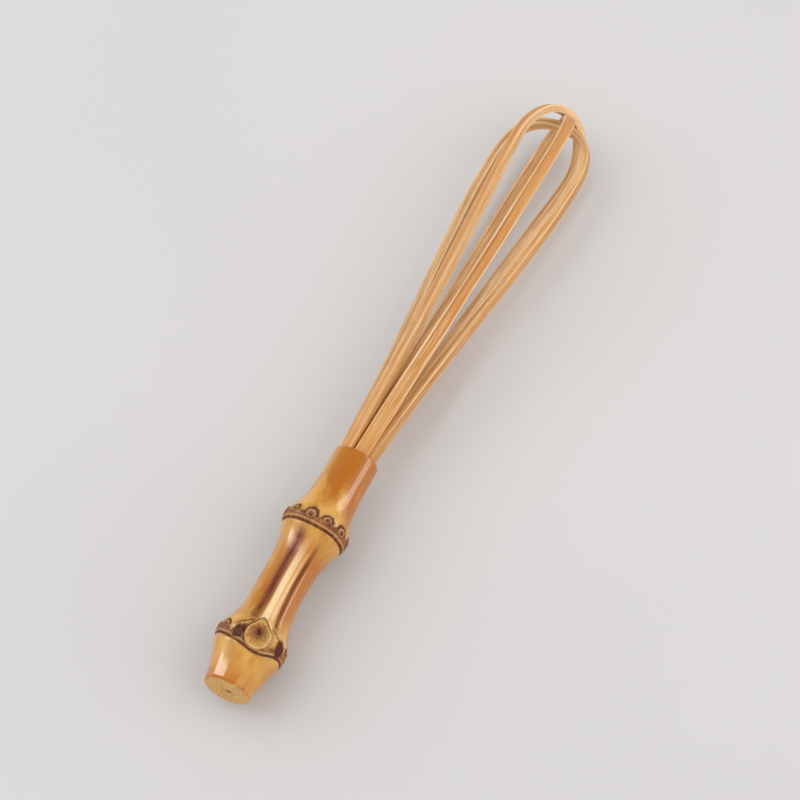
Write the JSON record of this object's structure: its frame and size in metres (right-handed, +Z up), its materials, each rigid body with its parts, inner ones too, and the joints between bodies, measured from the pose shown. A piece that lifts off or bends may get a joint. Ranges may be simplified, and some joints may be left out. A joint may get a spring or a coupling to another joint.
{
  "type": "bamboo loop whisk",
  "caption": "Hand whisk of bent bamboo strips crossing at the tip, with their shanks packed into the mouth of a short bamboo-root handle.",
  "frame": {"origin": "centre of the whisk's bounding box at the surface it lies on", "axes": "+Y along the whisk from the butt to the tip of the loops, +Z up from the surface, +X to the right seen from the butt"},
  "size_m": [0.0281, 0.2002, 0.0263],
  "materials": {
    "root_bamboo": "clear lacquer over bamboo root, honey to brown",
    "split_bamboo": "smooth split bamboo, tan skin and browner inside, lightly waxed",
    "peg_bamboo": "bare dry bamboo"
  },
  "bodies": {
    "root": {"handle": "root_bamboo", "outer_loop": "split_bamboo", "middle_loop": "split_bamboo", "inner_loop": "split_bamboo", "core_peg": "peg_bamboo"}
  },
  "joints": []
}
